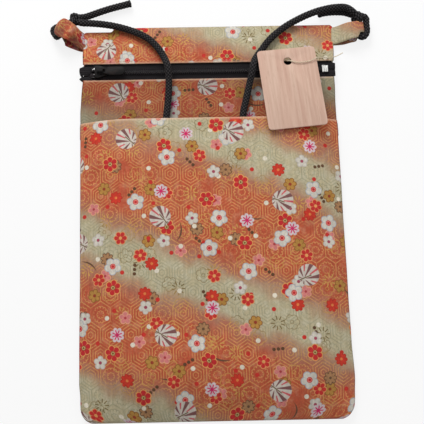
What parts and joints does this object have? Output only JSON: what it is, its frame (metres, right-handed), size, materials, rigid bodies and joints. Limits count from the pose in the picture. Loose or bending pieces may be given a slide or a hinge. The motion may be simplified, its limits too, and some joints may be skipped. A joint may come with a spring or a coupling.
{
  "type": "zip-top shoulder pouch",
  "caption": "Flat cloth shoulder pouch with a zip across the front, an open front pocket, side tabs, a knotted braided cord and a hanging tag.",
  "frame": {"origin": "on the table, under the middle of the back cloth, which is the face it rests on", "axes": "+Z out of the pouch's front, +Y towards the zip end, +X along the zip in its opening direction"},
  "size_m": [0.1979, 0.2593, 0.0174],
  "materials": {
    "printed_cloth": "matte woven print",
    "lining_cloth": "matte woven",
    "zip_tape": "matte woven",
    "zip_coil": "satin nylon",
    "slider_metal": "black enamel",
    "stop_metal": "bright",
    "cord_braid": "matte braid",
    "tag_card": "bare thin wood",
    "thread": "matte twisted"
  },
  "bodies": {
    "pouch": {"back_panel": "printed_cloth", "front_panel": "printed_cloth", "top_yoke": "printed_cloth", "pocket_panel": "printed_cloth", "tab_left": "printed_cloth", "tab_right": "printed_cloth", "back_lining": "lining_cloth", "front_lining": "lining_cloth", "yoke_lining": "lining_cloth", "zip_tape_upper": "zip_tape", "zip_tape_lower": "zip_tape", "zip_coil_upper": "zip_coil", "zip_coil_lower": "zip_coil", "zip_top_stop_upper": "stop_metal", "zip_top_stop_lower": "stop_metal", "zip_bottom_stop": "stop_metal", "cord_left_strand": "cord_braid", "cord_right_strand": "cord_braid", "cord_spiral_in_pocket": "cord_braid", "cord_left_tail": "cord_braid", "cord_right_tail": "cord_braid", "cord_left_ring": "cord_braid", "cord_right_ring": "cord_braid", "knot_left": "cord_braid", "knot_right": "cord_braid", "tag_thread": "thread"},
    "slider": {"zip_slider": "slider_metal"},
    "pull": {"zip_pull": "slider_metal"},
    "tag": {"hang_tag": "tag_card"}
  },
  "joints": [
    {"name": "zip_slide", "type": "slide", "parent": "pouch", "child": "slider", "axis": [1, 0, 0], "range_m": [0, 0.1338], "deforming": ["zip_coil_upper", "zip_coil_lower", "zip_tape_upper", "zip_tape_lower"]},
    {"name": "pull_swing", "type": "hinge", "parent": "slider", "child": "pull", "pos_m": [-0.06825, 0.09055, 0.00735], "axis": [0, -1, 0], "range_deg": [0, 172]},
    {"name": "tag_turn_over", "type": "hinge", "parent": "pouch", "child": "tag", "pos_m": [0.0464, 0.1015, 0.0114], "axis": [-0.9934, -0.1027, 0.0506], "range_deg": [0, 170], "deforming": ["tag_thread"]}
  ]
}
